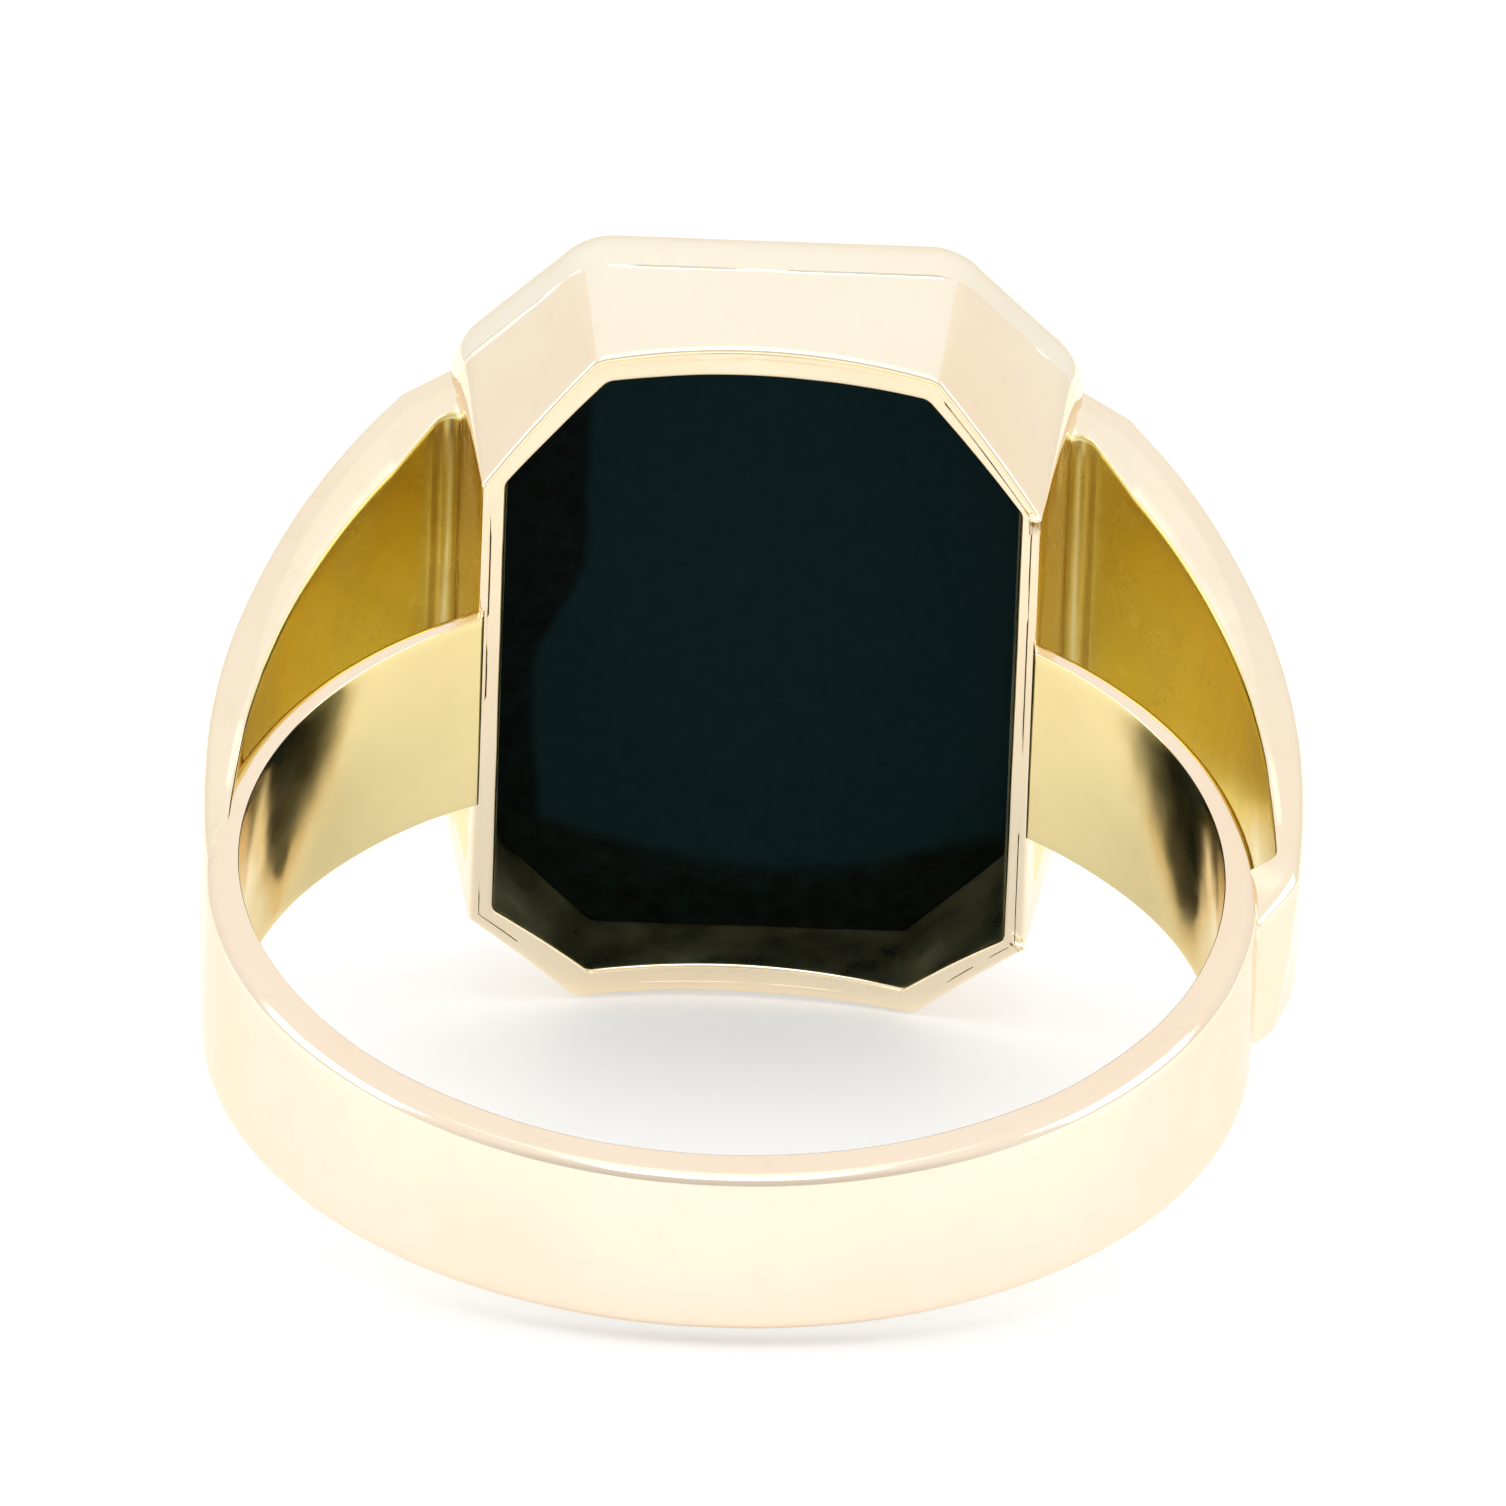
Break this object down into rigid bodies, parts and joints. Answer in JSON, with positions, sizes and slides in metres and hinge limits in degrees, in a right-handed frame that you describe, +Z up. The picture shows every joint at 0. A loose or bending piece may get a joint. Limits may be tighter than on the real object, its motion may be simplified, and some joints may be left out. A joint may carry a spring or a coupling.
{
  "type": "signet ring",
  "caption": "Signet ring with a tapering band, split hollow shoulders and a flared cut-corner octagonal open-back head holding a black tablet.",
  "frame": {"origin": "centre of the finger hole", "axes": "+Z up from the flat surface that the ring lies on, on its side; +Y from the back of the band towards the head; +X to the right seen from behind the band. The finger axis leans back from +Z by the tilt that rests the lower rim of the head and the back of the band on one surface."},
  "size_m": [0.0226, 0.027, 0.0168],
  "materials": {
    "gold": "polished pale yellow gold with fine wear scratches",
    "gold_inside": "less polished gold inside the head, slightly tarnished",
    "onyx": "opaque black stone, high polish"
  },
  "bodies": {
    "root": {"shank_band": "gold", "shoulder_left": "gold", "shoulder_right": "gold", "bezel_wall": "gold", "stone_seat": "gold_inside", "bezel_rim": "gold", "onyx_tablet": "onyx"}
  },
  "joints": []
}
